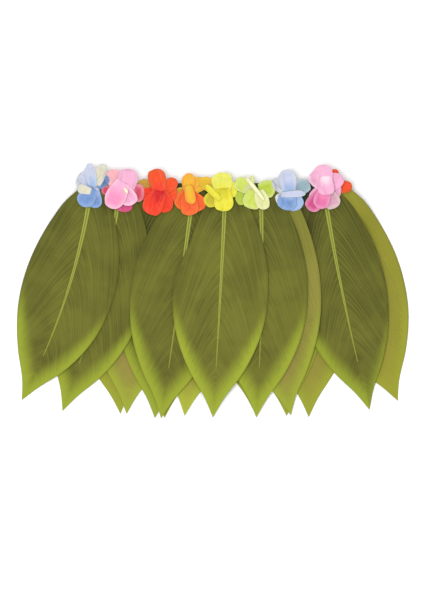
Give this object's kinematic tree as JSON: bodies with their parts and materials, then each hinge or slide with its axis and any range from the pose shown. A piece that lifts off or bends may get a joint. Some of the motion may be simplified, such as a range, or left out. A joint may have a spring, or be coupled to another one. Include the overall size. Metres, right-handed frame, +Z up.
{
  "type": "leaf hula skirt",
  "caption": "Hula skirt laid flat: large pointed cloth leaves hang from a ribbon waistband covered with a row of cloth blossoms.",
  "frame": {"origin": "centre of the bounding box at its base, on the surface the skirt lies on", "axes": "+X along the waistband, +Y from the leaf tips to the waistband, +Z up from the surface"},
  "size_m": [0.5678, 0.368, 0.0431],
  "materials": {
    "blossom_1": "matte petal cloth, pale blue and cream",
    "blossom_2": "matte petal cloth, pink",
    "blossom_3": "matte petal cloth, red",
    "blossom_4": "matte petal cloth, orange and yellow",
    "blossom_5": "matte petal cloth, yellow",
    "blossom_6": "matte petal cloth, lime and cream",
    "blossom_7": "matte petal cloth, blue with white edges",
    "blossom_8": "matte petal cloth, pink",
    "blossom_back": "matte petal cloth",
    "blossom_fold": "matte petal cloth, orange-red",
    "leaf_back": "matte polyester, tan inner face",
    "leaf_fold": "matte printed polyester, yellowed olive",
    "leaf_front": "matte printed polyester, olive with yellow-green border and fine veins",
    "midrib": "satin, pale yellow-green raised stem",
    "waistband": "matte woven ribbon, dark green"
  },
  "bodies": {
    "root": {"blossom_1_over": "blossom_1", "blossom_1_under": "blossom_1", "blossom_2_over": "blossom_2", "blossom_2_under": "blossom_2", "blossom_3_over": "blossom_3", "blossom_3_under": "blossom_3", "blossom_4_over": "blossom_4", "blossom_4_under": "blossom_4", "blossom_5_over": "blossom_5", "blossom_5_under": "blossom_5", "blossom_6_over": "blossom_6", "blossom_6_under": "blossom_6", "blossom_7_over": "blossom_7", "blossom_7_under": "blossom_7", "blossom_8_over": "blossom_8", "blossom_8_under": "blossom_8", "blossom_back_10": "blossom_back", "blossom_back_11": "blossom_back", "blossom_back_12": "blossom_back", "blossom_back_13": "blossom_back", "blossom_back_14": "blossom_back", "blossom_back_15": "blossom_back", "blossom_back_16": "blossom_back", "blossom_fold_9": "blossom_fold", "leaf_back_10": "leaf_back", "leaf_back_11": "leaf_back", "leaf_back_12": "leaf_back", "leaf_back_13": "leaf_back", "leaf_back_14": "leaf_back", "leaf_back_15": "leaf_back", "leaf_back_16": "leaf_back", "leaf_fold_9": "leaf_fold", "leaf_front_1": "leaf_front", "leaf_front_2": "leaf_front", "leaf_front_3": "leaf_front", "leaf_front_4": "leaf_front", "leaf_front_5": "leaf_front", "leaf_front_6": "leaf_front", "leaf_front_7": "leaf_front", "leaf_front_8": "leaf_front", "midrib_1": "midrib", "midrib_2": "midrib", "midrib_3": "midrib", "midrib_4": "midrib", "midrib_5": "midrib", "midrib_6": "midrib", "midrib_7": "midrib", "midrib_8": "midrib", "midrib_9": "midrib", "waistband": "waistband"}
  },
  "joints": []
}
